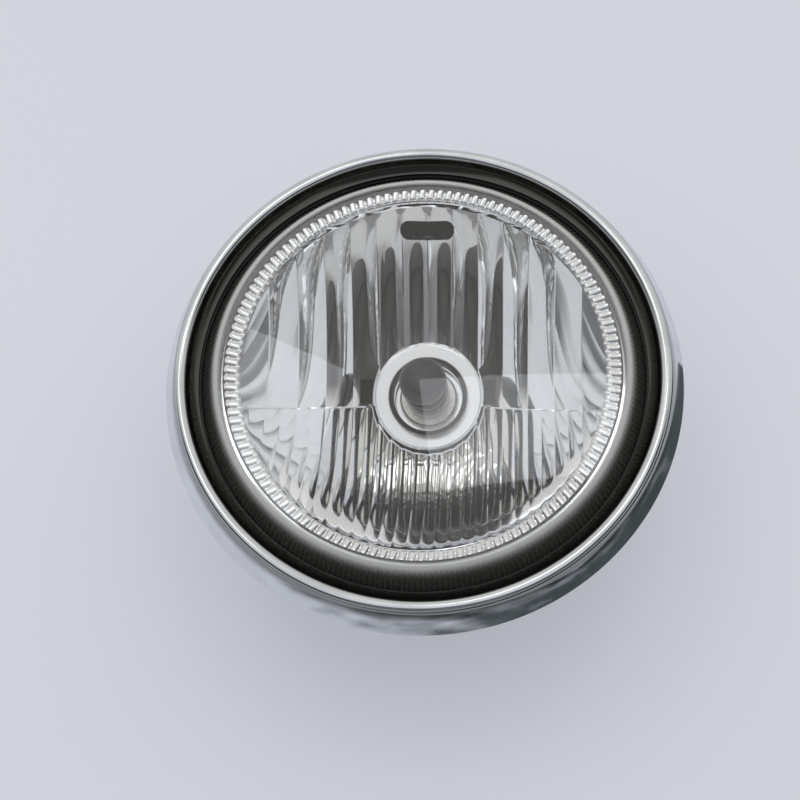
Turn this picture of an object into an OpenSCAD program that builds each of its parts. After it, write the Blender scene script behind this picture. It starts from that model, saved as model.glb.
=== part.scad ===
// Round scooter headlight with a chrome trim rim, a clear lens and a fluted reflector.
// The lamp lies on its back: +Z leaves the lens, +Y is the vehicle's up, +X is to the right
// as one looks at the lens. Z = 0 is the rear face of the rubber boot.

/* [Rim] */
// Radial width of the rim, from the lens's shoulder to its own rear edge
rim_width = 18; // [17.5:0.5:22]
// Height of the rim's rear edge above the rear face of the lamp
rim_z = 84; // [80:1:96]
// How far the skirt of the rim reaches forward of its rear edge
skirt_h = 10.4; // [8:0.2:14]
// How much the skirt narrows towards the front, on the radius
skirt_taper = 4.7; // [2:0.1:6]
// Radius of the rolled front edge
roll_r = 2.2; // [1.8:0.1:3]
// Depth of the cove between the roll and the lens
cove_depth = 5.8; // [4.6:0.2:7]
// Sheet thickness of the rim
rim_sheet = 1.2; // [0.8:0.1:1.6]

/* [Lens] */
// Radius of the lens at its shoulder
lens_r = 72; // [66:0.5:84]
// Height of the shoulder above the rim's rear edge
lens_h = 13.4; // [12:0.2:16]
// How far the middle of the lens stands above its shoulder
lens_crown = 3; // [1:0.2:5]
// Wall thickness of the lens
lens_wall = 2.2; // [1.6:0.1:3]
// How far the side of the lens widens towards its foot
lens_flare = 4.6; // [3:0.1:5]
// Number of prisms around the inner bezel
prism_count = 132; // [96:4:148]
// Radial width of the band of prisms at the top and bottom of the lamp
prism_band = 4; // [3:0.2:4.6]
// How much wider the band is at the sides
side_band = 1.8; // [0:0.1:3]
// Height of the prisms
prism_h = 1.4; // [0.8:0.1:2]

/* [Reflector] */
// Radial width of the edge between the reflector's mouth and the lens's shoulder
mouth_gap = 7.4; // [7:0.2:9]
// Depth of the reflector from its mouth to the bulb opening
bowl_depth = 49; // [44:0.5:52]
// Rake of the beam against the rim's axis, in degrees
rake = 13; // [8:0.5:18]
// How far the bulb opening lies above the rim's axis
bulb_y = 8.5; // [4:0.5:11]
// Wall thickness of the reflector
bowl_wall = 2.2; // [1.6:0.1:3]
// Number of flutes across the upper half
upper_flutes = 14; // [10:2:16]
// Depth of the upper flutes; the narrower lower ones are as steep
flute_depth = 0.6; // [0.3:0.1:1.2]
// Height of the step between the two halves
step_h = 1.2; // [0.6:0.1:2]
// How far the step lies below the middle of the bulb opening
step_y = 4; // [2:0.5:7]
// How far the ends of the step fall below its middle
step_fall = 19.6; // [10:0.2:24]
// Width of the pilot window
window_w = 19.6; // [14:0.2:24]
// Height of the pilot window
window_h = 5.8; // [4:0.2:8]

/* [Bulb] */
// Radius of the bulb opening inside the collar
opening_r = 12.7; // [12:0.1:14]
// Outside radius of the collar around the bulb
collar_r = 20.1; // [18:0.1:22]
// Radius of the bulb's glass
glass_r = 8.2; // [7:0.1:9]
// How far the glass stands in front of the collar
glass_reach = 44; // [34:1:46]
// Radius of the bulb's metal shell
shell_r = 10.6; // [9.6:0.1:11]

/* [Housing] */
// Wall thickness of the housing
case_wall = 2.4; // [1.8:0.1:3.2]
// Inside radius of the round service opening at the back
service_r = 39; // [36:0.5:42]
// Height of the service collar
service_h = 30; // [24:1:34]
// How far the faces of the two pivot bosses lie inside the housing's widest radius
pivot_inset = 3.2; // [2:0.2:5]
// Height of the pivot bosses above the rear face
pivot_z = 60; // [56:1:64]
// Core diameter of the thread in the pivot inserts
pivot_core = 5; // [4:0.1:6.6]
// Core diameter of the thread in the aiming insert
aim_core = 4.2; // [3:0.1:5]

/* [Hidden] */
$fn = 96;

// Clearance between pieces that slide together
slip = 0.2;
// Overlap that makes a cut run clean through a face
past = 0.5;

// Sizes across the lens unit
rim_d = 2 * (lens_r + rim_width);
mouth_r = lens_r - mouth_gap;
// Heights of the lens unit above the rear face
shoulder_z = rim_z + lens_h;
foot_z = rim_z + 4.5;
mouth_z = rim_z + 7;
foot_r = lens_r + lens_flare;
groove_floor = rim_z - 2;
// Wall of the housing outside the lens foot
case_r = foot_r + slip + case_wall;
ledge_r = lens_r - 1.4;

// Beam axis through the middle of the bulb opening
apex_z = mouth_z - bowl_depth;
collar_lift = 6;

// Places the children on the beam axis, with its z running forward along the beam
// and its origin in the middle of the collar's face
module on_beam() {
    translate([0, bulb_y, apex_z]) rotate([rake, 0, 0]) translate([0, 0, collar_lift]) children();
}

// Points on an arc about a centre, from one angle to another
function arc(c, r, from, to, steps) =
    [for (i = [0:steps]) let(a = from + (to - from) * i / steps) [c[0] + r * cos(a), c[1] + r * sin(a)]];

// Unit normal of the step from one point to the next
function side(a, b) = let(d = b - a) [-d[1], d[0]] / norm(d);

// Normal at one point of an open line
function normal_at(line, i) =
    let(n = len(line) - 1,
        before = side(line[max(i - 1, 0)], line[max(i, 1)]),
        after = side(line[min(i, n - 1)], line[min(i + 1, n)]),
        mean = before + after)
    mean / (1 + before * after);

// Closed outline of a sheet that follows an open line
function sheet(line, wall) =
    concat(line, [for (i = [len(line) - 1:-1:0]) line[i] + wall * normal_at(line, i)]);

// Repeats the children around the lamp's axis
module around(count, start = 0) {
    for (i = [0:count - 1]) rotate(start + i * 360 / count) children();
}

// Trim rim: tapered skirt, rolled front edge, cove and the lip that holds the lens unit

roll_c = [rim_d / 2 - skirt_taper - roll_r, rim_z + skirt_h];
cove_r = roll_c[0] - roll_r;
lip_z = roll_c[1] + roll_r - cove_depth;
lip_r = foot_r + 4 * slip;
hem = 3;
skirt_curve = 1.35;

function skirt_line() = [for (i = [0:8]) let(u = i / 8)
    [rim_d / 2 - skirt_taper + skirt_taper * pow(1 - u, skirt_curve), rim_z + skirt_h * u]];

rim_line = concat([[rim_d / 2 - hem, rim_z]], skirt_line(),
                  arc(roll_c, roll_r, 12, 180, 14),
                  [[cove_r - 0.8, lip_z + 1.2], [lip_r, lip_z]]);

module trim_rim() {
    color("silver") rotate_extrude($fn = 180) polygon(sheet(rim_line, rim_sheet));
}

// Steel angles welded inside the skirt, one for each rim screw
bracket_w = 14;
bracket_t = 1.5;
bracket_a = 90;
skirt_gap = 0.1;
ear_z = rim_z - 4.5;
ear_h = 5.5;
screw_r = 1.6;
bolt_circle = case_r + 2.5;
bracket_in = rim_d / 2 - hem - skirt_gap - bracket_t;
ear_r = bracket_in - slip - bolt_circle;

// Inner face of the skirt, a little inside the sheet
function skirt_inside() = [for (i = [2:9]) let(p = rim_line[i] + rim_sheet * normal_at(rim_line, i))
    [min(p[0], rim_d / 2 - hem) - skirt_gap, max(p[1], rim_z + skirt_gap)]];

module rim_brackets() {
    color("gray") intersection() {
        around(3, bracket_a) difference() {
            union() {
                translate([case_r + slip, -bracket_w / 2, ear_z])
                    cube([bracket_in - case_r, bracket_w, bracket_t]);
                translate([bracket_in, -bracket_w / 2, ear_z])
                    cube([bracket_t + 3, bracket_w, rim_z + skirt_h * 0.6 - ear_z]);
            }
            translate([bolt_circle, 0, ear_z - past]) cylinder(r = screw_r + slip, h = bracket_t + 2 * past);
        }
        rotate_extrude($fn = 180) polygon(concat([[0, 0], [rim_d / 2 - hem - skirt_gap, 0]],
            skirt_inside(), [[0, rim_z + skirt_h]]));
    }
}

// Pan-head screw that points along +Z, with its head below the origin
module pan_screw(r, length, head_r, head_h) {
    difference() {
        union() {
            cylinder(r = r, h = length);
            translate([0, 0, -head_h]) rotate_extrude() polygon([[0, 0], [head_r * 0.7, 0],
                [head_r, head_h * 0.5], [head_r, head_h], [0, head_h]]);
        }
        for (a = [0, 90]) rotate(a) translate([-head_r * 0.6, -0.4, -head_h - past])
            cube([head_r * 1.2, 0.8, head_h * 0.5 + past]);
    }
}

module rim_screws() {
    color("silver") around(3, bracket_a) translate([bolt_circle, 0, ear_z]) pan_screw(screw_r, 6.5, 2.8, 2);
}

// Clear lens: a crowned front, a rounded shoulder and a flared foot that stands in the groove
shoulder_fillet = 2.6;
lens_base = groove_floor + 1;
crown_r = (lens_r * lens_r + lens_crown * lens_crown) / (2 * lens_crown);

function crown_z(r, drop) = shoulder_z + lens_crown - drop - crown_r + sqrt(crown_r * crown_r - r * r);

function lens_line(inset) = let(
    turn_r = lens_r - shoulder_fillet,
    top = [for (i = [0:7]) let(r = turn_r * i / 7) [r, crown_z(r, inset)]],
    edge = crown_z(turn_r, shoulder_fillet),
    bend = arc([turn_r, edge], shoulder_fillet - inset, 80, 12, 5),
    base = lens_base - (inset > 0 ? past : 0))
    concat(top, bend, [[foot_r - inset, foot_z], [foot_r - inset, base], [0, base]]);

module lens() {
    color("lightcyan", 0.4) rotate_extrude($fn = 180) difference() {
        polygon(lens_line(0));
        polygon(lens_line(lens_wall));
    }
}

// Seal that fills the groove under the lens foot
seal_h = 3;

module lens_seal() {
    color("dimgray") rotate_extrude($fn = 180) difference() {
        translate([foot_r - lens_wall - slip, groove_floor]) square([lens_wall + 2 * slip, seal_h]);
        translate([foot_r - lens_wall, lens_base]) square([lens_wall, seal_h]);
    }
}

// Inner bezel: a bright ring with radial prisms, trapped between the reflector's flange and the lens
bezel_in = mouth_r - slip;
bezel_out = bezel_in + prism_band;
bezel_z = mouth_z + 1.6;
bezel_base = 1.2;

module inner_bezel() {
    n = 2 * prism_count;
    // Four rings of points: base inside, base outside, prism tops inside, prism tops outside
    points = [for (ring = [0:3], i = [0:n - 1]) let(
        a = 360 * (i + (ring % 2) * 0.5) / n,
        top = bezel_z + bezel_base + (i % 2) * prism_h,
        r = ring % 2 == 0 ? bezel_in - side_band * pow(cos(a), 2) : bezel_out)
        [r * cos(a), r * sin(a), ring < 2 ? bezel_z : top]];
    next = function(i) (i + 1) % n;
    quad = function(a, b, c, d) [[a, c, b], [a, d, c]];
    faces = [for (i = [0:n - 1]) let(j = next(i)) each concat(
        quad(i, j, n + j, n + i),
        quad(2 * n + i, 3 * n + i, 3 * n + j, 2 * n + j),
        quad(i, 2 * n + i, 2 * n + j, j),
        quad(n + i, n + j, 3 * n + j, 3 * n + i))];
    color("gainsboro") polyhedron(points, faces, convexity = 6);
}

// Reflector: a raked bowl with upright flutes, a step across the middle, a neck for the bulb,
// a flange, the pilot window and two slots beside the bulb
flute_columns = 6;
columns = upper_flutes * flute_columns;
lower_columns = flute_columns / 2;
rows = 9;
column_w = 2 * (mouth_r - slip) / columns;
hole_r = opening_r + 3.2;
step_at = bulb_y - step_y;
shortest = 0.2;

// Level of the bowl between its apex (0) and its mouth (1) above a point of the rim plane
function level(x, y) = let(
    d = y - bulb_y,
    b = 2 * bulb_y * d - mouth_r * mouth_r,
    c = x * x + d * d)
    2 * c / (-b + sqrt(b * b - 4 * bulb_y * bulb_y * c));

function bowl_z(x, y) = let(q = level(x, y))
    apex_z + q * bowl_depth + (1 - q) * tan(rake) * (y - bulb_y);

// Height of a flute at a column: nothing in its valleys and most between them
function flute(i, per) = let(u = (i % per) / per) flute_depth * per / flute_columns * 4 * u * (1 - u);

function column_x(i) = -mouth_r + slip + i * column_w;
function half_chord(r, x) = sqrt(max(r * r - x * x, 0));

// Where the step crosses a column; it stays inside the mouth at the sides
function step_line(x) = max(shortest - half_chord(mouth_r, x),
    step_at - step_fall * max(x * x - hole_r * hole_r, 0) / (mouth_r * mouth_r - hole_r * hole_r));

// Inner and outer end of one column, above or below the step
function inner_y(x, up) = let(h = half_chord(hole_r, x), step = step_line(x))
    up ? max(step, h > 0 ? bulb_y + h : step) : min(step, h > 0 ? bulb_y - h : step);
function outer_y(x, up) = up ? max(half_chord(mouth_r, x), step_line(x) + shortest)
                             : min(-half_chord(mouth_r, x), step_line(x) - shortest);

// Front or back point of the bowl
function bowl_point(i, v, up, drop) = let(
    x = column_x(i),
    y = inner_y(x, up) + (outer_y(x, up) - inner_y(x, up)) * v,
    fade = 1 - pow(v, 6))
    [x, y, bowl_z(x, y) - drop - (up ? 0 : step_h * fade)
        + fade * flute(i, up ? flute_columns : lower_columns)];

module fluted_bowl() {
    w = rows + 1;
    m = (columns + 1) * w;
    // Blocks of points: upper front, lower front, upper back, lower back
    points = [for (drop = [0, bowl_wall], up = [true, false], i = [0:columns], k = [0:rows])
        bowl_point(i, k / rows, up, drop)];
    over_hole = [for (i = [0:columns - 1]) min(abs(column_x(i)), abs(column_x(i + 1))) < hole_r - 0.01];
    // The halves meet in one point at both ends of each stretch of the step
    knot = [for (i = [0:columns]) i == 0 || i == columns ? true : over_hole[i] != over_hole[i - 1]];
    at = function(block, i, k) (block - (k == 0 && knot[i] ? block % 2 : 0)) * m + i * w + k;
    quad = function(a, b, c, d, flip) flip ? [[a, b, c], [a, c, d]] : [[a, c, b], [a, d, c]];
    skin = function(block, flip) [for (i = [0:columns - 1], k = [0:rows - 1])
        each quad(at(block, i, k), at(block, i + 1, k), at(block, i + 1, k + 1), at(block, i, k + 1), flip)];
    // Walls between front and back along the outer edge and around the bulb hole
    edge = function(front, k, flip, i) quad(at(front, i, k), at(front, i + 1, k),
        at(front + 2, i + 1, k), at(front + 2, i, k), flip);
    rim_walls = [for (i = [0:columns - 1]) each concat(edge(0, rows, false, i), edge(1, rows, true, i))];
    middle = [for (i = [0:columns - 1]) each over_hole[i]
        ? concat(edge(0, 0, true, i), edge(1, 0, false, i))
        : concat(quad(at(0, i, 0), at(0, i + 1, 0), at(1, i + 1, 0), at(1, i, 0), true),
                 quad(at(2, i, 0), at(2, i + 1, 0), at(3, i + 1, 0), at(3, i, 0), false))];
    side_wall = function(front, i, k, flip) quad(at(front, i, k), at(front, i, k + 1),
        at(front + 2, i, k + 1), at(front + 2, i, k), flip);
    ends = [for (i = [0, columns], k = [0:rows - 1])
        each concat(side_wall(0, i, k, i > 0), side_wall(1, i, k, i == 0))];
    faces = concat(skin(0, false), skin(1, true), skin(2, true), skin(3, false), rim_walls, middle, ends);
    polyhedron(points, [for (f = faces) if (f[0] != f[1] && f[1] != f[2] && f[2] != f[0]) f], convexity = 10);
}

// Flange of the reflector and the neck behind its bulb opening
flange_t = 2.6;
flange_lip = 0.8;
flange_fold = 1.6;
neck_r = 18;
neck_depth = 12;
neck_flange_r = 25;
neck_flange_t = 2;
neck_step = 1.5;
sleeve_r = opening_r + 1.3;
collar_seat = -2.4;
seat_r = shell_r + 0.6;
slot_w = 4.4;
slot_h = 9.1;
slot_gap = 0.6;
slot_lift = 1.5;
window_y = mouth_r - 6.3;

// Places the children at the pilot window, with z running forward along the beam
module at_window() {
    translate([0, window_y, bowl_z(0, window_y)]) rotate([rake, 0, 0]) children();
}

module reflector() {
    color("white") difference() {
        union() {
            fluted_bowl();
            rotate_extrude($fn = 180) polygon([[mouth_r - flange_lip, mouth_z - 3],
                [mouth_r + flange_fold, mouth_z - 3], [mouth_r + flange_fold, bezel_z - flange_t],
                [ledge_r, bezel_z - flange_t], [ledge_r, bezel_z], [mouth_r - flange_lip, bezel_z]]);
            on_beam() rotate_extrude() polygon([[sleeve_r + slip, neck_step - neck_depth],
                [seat_r, neck_step - neck_depth], [seat_r, -neck_depth], [neck_flange_r, -neck_depth],
                [neck_flange_r, neck_flange_t - neck_depth], [neck_r, neck_flange_t - neck_depth],
                [neck_r, collar_seat], [sleeve_r + slip, collar_seat]]);
        }
        on_beam() translate([0, 0, collar_seat]) cylinder(r = collar_r + slip, h = 8);
        on_beam() for (s = [-1, 1]) translate([s * (collar_r + slot_gap + slot_w / 2), slot_lift, 4])
            cube([slot_w, slot_h, 16], center = true);
        at_window() {
            cube([window_w - window_h, window_h, 20], center = true);
            for (s = [-1, 1]) translate([s * (window_w - window_h) / 2, 0, 0])
                cylinder(d = window_h, h = 20, center = true);
        }
        on_beam() for (s = [-1, 1]) translate([clip_x, s * clip_y, -neck_depth - past])
            cylinder(r = clip_screw_r, h = neck_flange_t + 2 * past);
    }
}

// Bright collar pressed into the neck around the bulb
collar_depth = 8;
collar_edge = 1.1;
collar_back = collar_seat + slip;

module bulb_collar() {
    color("gainsboro") on_beam() rotate_extrude($fn = 128) polygon([[opening_r, collar_seat],
        [opening_r, -collar_depth], [sleeve_r, -collar_depth], [sleeve_r, collar_back],
        [collar_r - collar_edge - 0.3, collar_back], [collar_r - 0.4, collar_back + 1],
        [collar_r, collar_back + 1], [collar_r, -0.9], [collar_r - collar_edge, 0], [opening_r + 1.9, 0],
        [opening_r + 1.5, -0.9]]);
}

// Housing: a deep bowl with the groove for the lens, a service collar, pivot bosses,
// the aiming lug, the pilot socket and three ears for the rim screws
service_y = 12;
floor_z = service_h;
service_foot = 3;
service_top = floor_z + 8;
// Corners of the housing's side: how far each lies inside the widest radius
case_steps = [31.2, 19.2, 10.2, 5.2];
floor_r = case_r - case_steps[0];
groove_in = foot_r - lens_wall - slip;
wall_top = lip_z - rim_sheet - 0.4;
ledge_z = bezel_z - flange_t;
pilot_bore = 7.6;
pilot_r = 5;
pilot_back = 33;
aim_y = -(case_r - 3.5);
aim_z = 58;
insert_r = 4.5;
insert_l = 12;
aim_insert_r = 4;
boss_wall = 3.5;
boss_root = 6;
pivot_face = case_r - pivot_inset;
vent_y = 8 - floor_r;
vent_r = 3;

function case_line(inset) = [[0, floor_z + inset], [floor_r - inset, floor_z + inset],
    [case_r - case_steps[1] - inset, floor_z + 10 + inset * 0.6],
    [case_r - case_steps[2] - inset, floor_z + 28],
    [case_r - case_steps[3] - inset, groove_floor - 8 - inset],
    [inset > 0 ? groove_in - inset : case_r, groove_floor - case_wall]];

module housing() {
    color("dimgray") difference() {
        union() {
            rotate_extrude($fn = 180) polygon(concat(case_line(0), [[case_r, wall_top],
                [case_r - case_wall, wall_top], [case_r - case_wall, groove_floor], [groove_in, groove_floor],
                [groove_in, ledge_z - 2], [ledge_r - 1, ledge_z], [0, ledge_z]]));
            translate([0, service_y, service_foot])
                cylinder(r = service_r + case_wall, h = service_top - service_foot, $fn = 128);
            translate([0, vent_y, floor_z - 8]) cylinder(r = vent_r, h = 9);
            for (s = [0, 1]) mirror([s, 0, 0]) translate([pivot_face - insert_l - boss_root, 0, pivot_z])
                rotate([0, 90, 0]) cylinder(r = insert_r + boss_wall, h = insert_l + boss_root);
            translate([0, aim_y, aim_z]) cylinder(r = aim_insert_r + 2.5, h = groove_floor - aim_z);
            translate([-3, aim_y, aim_z + 4]) cube([6, 14, groove_floor - aim_z - 4]);
            around(3, bracket_a) translate([bolt_circle, 0, ear_z + bracket_t])
                cylinder(r = ear_r, h = ear_h);
            around(3, bracket_a) translate([case_r - 1, -ear_r, ear_z + bracket_t])
                cube([bolt_circle - case_r + 1, 2 * ear_r, ear_h]);
            at_window() translate([0, 0, -pilot_back - 3]) cylinder(r = pilot_bore + case_wall + 1, h = 9);
        }
        rotate_extrude($fn = 180) polygon(concat(case_line(case_wall),
            [[ledge_r - 3, ledge_z - 3], [ledge_r - 3, ledge_z + past], [0, ledge_z + past]]));
        translate([0, service_y, service_foot - past])
            cylinder(r = service_r, h = service_top - service_foot + 2 * past, $fn = 128);
        translate([0, vent_y, floor_z - 8 - past]) cylinder(r = vent_r / 2, h = 12 + case_wall);
        for (s = [0, 1]) mirror([s, 0, 0]) translate([pivot_face - insert_l, 0, pivot_z])
            rotate([0, 90, 0]) cylinder(r = insert_r, h = insert_l + past);
        translate([0, aim_y, aim_z - past]) cylinder(r = aim_insert_r, h = insert_l + past);
        around(3, bracket_a) translate([bolt_circle, 0, ear_z]) cylinder(r = screw_r, h = 7);
        at_window() translate([0, 0, -pilot_back - 3 - past]) cylinder(r = pilot_bore, h = 14);
        at_window() translate([0, 0, -pilot_back - 23]) cylinder(r = pilot_bore + 3.4, h = 20);
        at_window() translate([0, 0, -pilot_back]) cylinder(r = pilot_r + 2 * slip, h = pilot_back - 10);
    }
}

// Bulb: glass, metal shell with its flange, insulator, blades and the burner inside
glass_wall = 0.9;
glass_back = -11;
base_back = -neck_depth - 1;
insulator_r = 9.5;
insulator_l = 18;
plug_r = insulator_r - 1.5;
base_r = neck_r - 1.5;
shell_top = -4.8;
shell_t = 0.6;
blade_l = 10;
blade_w = 7.8;
blade_t = 0.8;
blade_gap = 5;

function glass_line(inset) = let(r = glass_r - inset, tip = glass_reach - inset)
    concat([[0, glass_back + inset], [r, glass_back + inset]],
           [for (i = [0:8]) let(a = i * 90 / 8) [r * pow(cos(a), 0.8), tip - (r * 0.75) * (1 - sin(a))]]);

module bulb_glass() {
    color("lightgray", 0.5) on_beam() rotate_extrude($fn = 64) difference() {
        polygon(glass_line(0));
        polygon(glass_line(glass_wall));
    }
}

module bulb_base() {
    color("silver") on_beam() rotate_extrude() polygon([[plug_r, base_back], [base_r, base_back],
        [base_r, base_back + 1], [shell_r, base_back + 1], [shell_r, shell_top - 0.4],
        [shell_r - 0.5, shell_top],
        [glass_r, shell_top], [glass_r, shell_top - 0.7], [shell_r - shell_t, shell_top - 1.1],
        [shell_r - shell_t, glass_back], [plug_r, glass_back]]);
}

module bulb_insulator() {
    color("saddlebrown") on_beam() translate([0, 0, base_back - insulator_l]) {
        cylinder(r = insulator_r, h = insulator_l);
        cylinder(r = plug_r, h = insulator_l + 2);
    }
}

module bulb_terminals() {
    color("goldenrod") on_beam() translate([0, 0, base_back - insulator_l - blade_l]) {
        translate([-blade_w / 2, blade_gap - blade_t / 2, 0]) cube([blade_w, blade_t, blade_l]);
        for (s = [-1, 1]) translate([s * (blade_gap + 1) - blade_t / 2, -blade_gap - blade_t / 2, 0])
            cube([blade_t, blade_w, blade_l]);
    }
}

// Glass stem, three lead wires, the two filaments and the shield under the nearer one
stem_r = 3.2;
stem_h = 12;
lead_r = 0.5;
lead_out = 2.2;
main_filament_z = 22.9;
dip_filament_z = 15.3;
filament_r = 0.7;
shield_z = 10;
shield_r = 4.1;
shield_h = 11;

module bulb_filaments() {
    color("darkgray") on_beam() {
        translate([0, 0, glass_back + glass_wall]) cylinder(r = stem_r, h = stem_h);
        translate([lead_out, 0, 0]) cylinder(r = lead_r, h = main_filament_z + 7.1);
        translate([-lead_out, 0, 0]) cylinder(r = lead_r, h = main_filament_z + 1.1);
        translate([0, -lead_out, 0]) cylinder(r = lead_r, h = dip_filament_z + filament_r);
        translate([-lead_out, 0, main_filament_z]) rotate([0, 90, 0])
            cylinder(r = filament_r, h = 2 * lead_out);
        translate([0, -lead_out, dip_filament_z]) rotate([-60, 0, 0]) cylinder(r = filament_r, h = lead_out);
        translate([0, 0, shield_z]) rotate_extrude(angle = 180) translate([shield_r - 0.5, 0])
            square([0.5, shield_h]);
        translate([0, 0, shield_z]) rotate_extrude(angle = 180) square([shield_r, 0.6]);
    }
}

// Wire clip that holds the bulb's flange against the neck, with its two screws
clip_wire = 0.7;
clip_r = 12.5;
clip_open = 30;
clip_x = 21;
clip_y = clip_r * sin(clip_open);
clip_turn = clip_r * cos(clip_open);
clip_screw_r = 1.5;

module bulb_clip() {
    color("lightsteelblue") on_beam() translate([0, 0, base_back - clip_wire]) {
        rotate(clip_open) rotate_extrude(angle = 360 - 2 * clip_open) translate([clip_r, 0])
            circle(r = clip_wire, $fn = 20);
        for (s = [-1, 1]) translate([clip_turn - 0.3, s * clip_y, 0]) rotate([0, 90, 0])
            cylinder(r = clip_wire, h = clip_x - clip_turn - clip_screw_r - clip_wire + 0.2, $fn = 20);
        for (s = [-1, 1]) translate([clip_x, s * clip_y, 0]) rotate_extrude()
            translate([clip_screw_r + clip_wire + 0.1, 0]) circle(r = clip_wire, $fn = 20);
    }
}

module clip_screws() {
    color("silver") on_beam() for (s = [-1, 1])
        translate([clip_x, s * clip_y, base_back - 2 * clip_wire]) pan_screw(clip_screw_r, 4.4, 3, 1.8);
}

// Rubber boot: grips the service collar outside and the bulb's insulator in the middle
boot_t = 2.2;
boot_r = service_r + case_wall;
boot_dip = apex_z + (collar_lift + base_back - insulator_l + 2.4) * cos(rake);
boot_band = 12;
boot_rest = service_r - 5;
dish_r = 16;
cuff_h = 9;

module rubber_boot() {
    color("black") difference() {
        union() {
            translate([0, service_y, 0]) rotate_extrude($fn = 128) polygon([[boot_r + boot_t, 1],
                [boot_r + boot_t - 1, 0], [boot_rest, 0], [dish_r, boot_dip - boot_t],
                [0, boot_dip - boot_t], [0, boot_dip], [dish_r + 1, boot_dip],
                [boot_rest + 0.6, service_foot], [boot_r, service_foot], [boot_r, boot_band],
                [boot_r + boot_t, boot_band]]);
            on_beam() translate([0, 0, base_back - insulator_l + 1.5])
                cylinder(r = insulator_r + boot_t, h = cuff_h);
        }
        on_beam() translate([0, 0, base_back - insulator_l - 20])
            cylinder(r = insulator_r, h = insulator_l + 20 - 1);
        translate([0, service_y, -past]) cylinder(r1 = boot_rest, r2 = dish_r, h = boot_dip - boot_t + past);
    }
}

// Pilot lamp: a small wedge bulb in a rubber-tailed holder
wedge_r = pilot_r - 0.6;
wedge_h = 8;
pilot_h = 13;

module pilot_bulb() {
    color("lightgray", 0.6) at_window() translate([0, 0, -pilot_back + 1]) {
        cylinder(r = wedge_r, h = wedge_h);
        translate([0, 0, wedge_h - 1]) rotate_extrude($fn = 48)
            polygon(concat([[0, 0], [wedge_r, 0], [pilot_r, 2]], arc([0, pilot_h], pilot_r, 0, 90, 6)));
    }
}

module pilot_holder() {
    color("black") at_window() translate([0, 0, -pilot_back]) difference() {
        union() {
            translate([0, 0, -3]) cylinder(r = pilot_bore - slip, h = 9);
            translate([0, 0, -5]) cylinder(r = pilot_bore + 3, h = 2);
            translate([0, 0, -13]) cylinder(r1 = 5, r2 = 6.4, h = 8.5);
        }
        translate([0, 0, 1]) cylinder(r = wedge_r, h = wedge_h - 2);
    }
}

// Brass inserts: two in the pivot bosses and one in the aiming lug
module pivot_inserts() {
    color("goldenrod") for (s = [0, 1]) mirror([s, 0, 0])
        translate([pivot_face - insert_l, 0, pivot_z]) rotate([0, 90, 0]) difference() {
            cylinder(r = insert_r, h = insert_l);
            translate([0, 0, -past]) cylinder(d = pivot_core, h = insert_l + 2 * past);
        }
}

module aim_insert() {
    color("goldenrod") translate([0, aim_y, aim_z]) difference() {
        cylinder(r = aim_insert_r, h = insert_l);
        translate([0, 0, -past]) cylinder(d = aim_core, h = insert_l + 2 * past);
    }
}

// Breather cap on the spigot in the housing's floor
module vent_cap() {
    color("black") translate([0, vent_y, floor_z - 11]) difference() {
        cylinder(r = vent_r + 1.6, h = 10);
        translate([0, 0, 3]) cylinder(r = vent_r, h = 8);
        translate([0, 0, 1.5]) rotate([0, 90, 0]) cylinder(r = 0.7, h = 12);
    }
}

trim_rim();
rim_brackets();
rim_screws();
lens();
lens_seal();
inner_bezel();
reflector();
bulb_collar();
housing();
bulb_glass();
bulb_filaments();
bulb_base();
bulb_insulator();
bulb_terminals();
bulb_clip();
clip_screws();
rubber_boot();
pilot_bulb();
pilot_holder();
pivot_inserts();
aim_insert();
vent_cap();
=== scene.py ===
import bpy
import bmesh
import math
from mathutils import Matrix, Vector


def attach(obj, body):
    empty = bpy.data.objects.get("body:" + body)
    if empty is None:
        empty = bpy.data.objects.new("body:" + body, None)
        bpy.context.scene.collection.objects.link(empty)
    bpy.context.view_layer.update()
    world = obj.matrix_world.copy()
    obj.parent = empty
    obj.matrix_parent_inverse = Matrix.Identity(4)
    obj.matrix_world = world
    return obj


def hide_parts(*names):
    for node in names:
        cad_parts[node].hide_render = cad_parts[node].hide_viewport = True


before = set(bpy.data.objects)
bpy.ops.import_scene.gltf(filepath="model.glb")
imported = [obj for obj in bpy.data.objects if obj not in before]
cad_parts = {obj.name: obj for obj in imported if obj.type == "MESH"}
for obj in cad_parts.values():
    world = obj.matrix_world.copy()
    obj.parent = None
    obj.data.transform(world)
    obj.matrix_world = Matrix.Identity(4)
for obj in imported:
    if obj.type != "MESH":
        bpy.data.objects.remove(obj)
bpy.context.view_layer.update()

MM = 0.001

# Sizes of the solids, in millimetres, as the part's source has them
RIM_Z = 84.0
RIM_R = 90.0
SKIRT_H = 10.4
SKIRT_TAPER = 4.7
ROLL_R = 2.2
COVE_DEPTH = 5.8
RIM_SHEET = 1.2
HEM = 3.0
LENS_R = 72.0
LENS_H = 13.4
LENS_CROWN = 3.0
LENS_WALL = 2.2
SIDE_RIBS = 264
# Amounts of the lens's painted shade on its side and painted highlight on its shoulder
SIDE_PAINTED_SHADE = 0.65
SHOULDER_PAINTED_HIGHLIGHT = 0.75
LENS_FOOT_R = 76.6
LENS_FOOT_Z = RIM_Z + 4.5
LENS_BASE_Z = RIM_Z - 1.0
SHOULDER_FILLET = 2.6
MOUTH_R = 64.6
MOUTH_Z = RIM_Z + 7.0
PRISMS = 132
PRISM_SLANT = 0.22
PRISM_H = 1.4
SIDE_BAND = 1.8
BEZEL_IN = 64.4
BEZEL_OUT = 68.4
BEZEL_BASE = 1.2
BEZEL_Z = MOUTH_Z + 1.6
BOWL_DEPTH = 49.0
BOWL_WALL = 2.2
RAKE = math.radians(13)
BULB_Y = 8.5
COLLAR_LIFT = 6.0
APEX_Z = MOUTH_Z - BOWL_DEPTH
OPENING_R = 12.7
COLLAR_R = 20.1
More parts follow.
